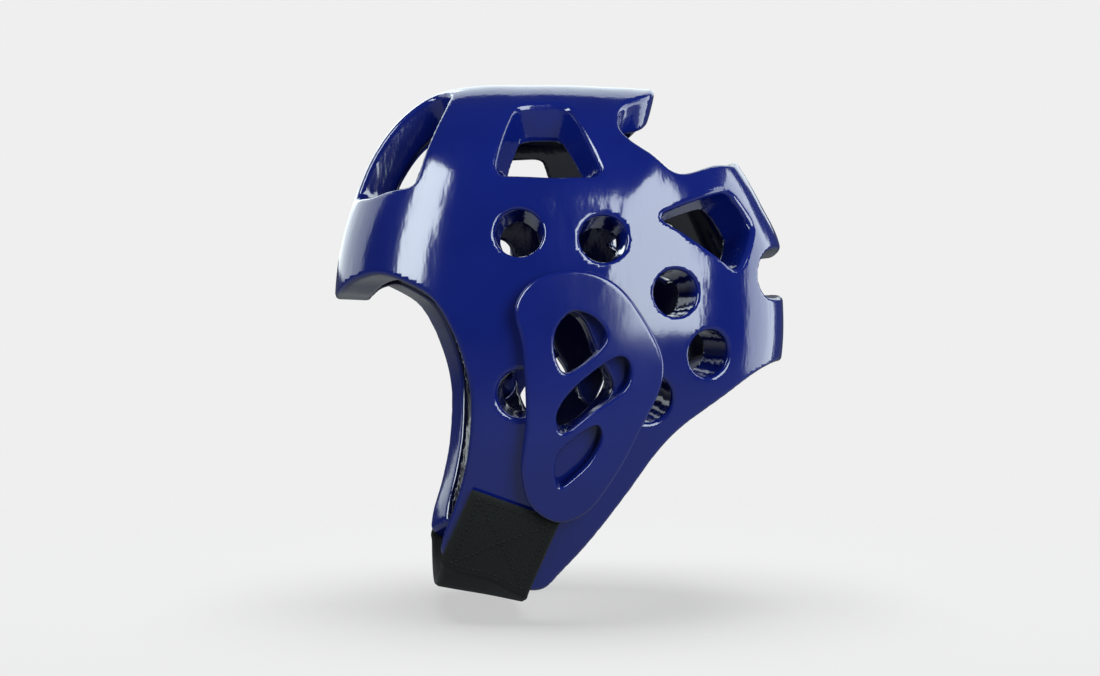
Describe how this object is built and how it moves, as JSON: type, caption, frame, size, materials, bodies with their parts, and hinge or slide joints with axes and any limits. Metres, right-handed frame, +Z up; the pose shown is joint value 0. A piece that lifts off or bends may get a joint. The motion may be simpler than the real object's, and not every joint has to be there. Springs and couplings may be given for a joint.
{
  "type": "taekwondo headgear",
  "caption": "Open-face sparring helmet of thick dipped foam with vent openings, raised ear guards and a wide chin strap.",
  "frame": {"origin": "middle of the inside of the crown, where a head carries the shell", "axes": "+Z up, -Y the way the face looks, +X to the wearer's left"},
  "size_m": [0.1988, 0.2498, 0.2858],
  "materials": {
    "shell_foam": "glossy dipped blue foam",
    "guard_foam": "glossy dipped blue foam",
    "strap_webbing": "matt black woven webbing"
  },
  "bodies": {
    "root": {"shell": "shell_foam", "ear_guard_left": "guard_foam", "ear_guard_right": "guard_foam", "chin_strap": "strap_webbing"}
  },
  "joints": []
}
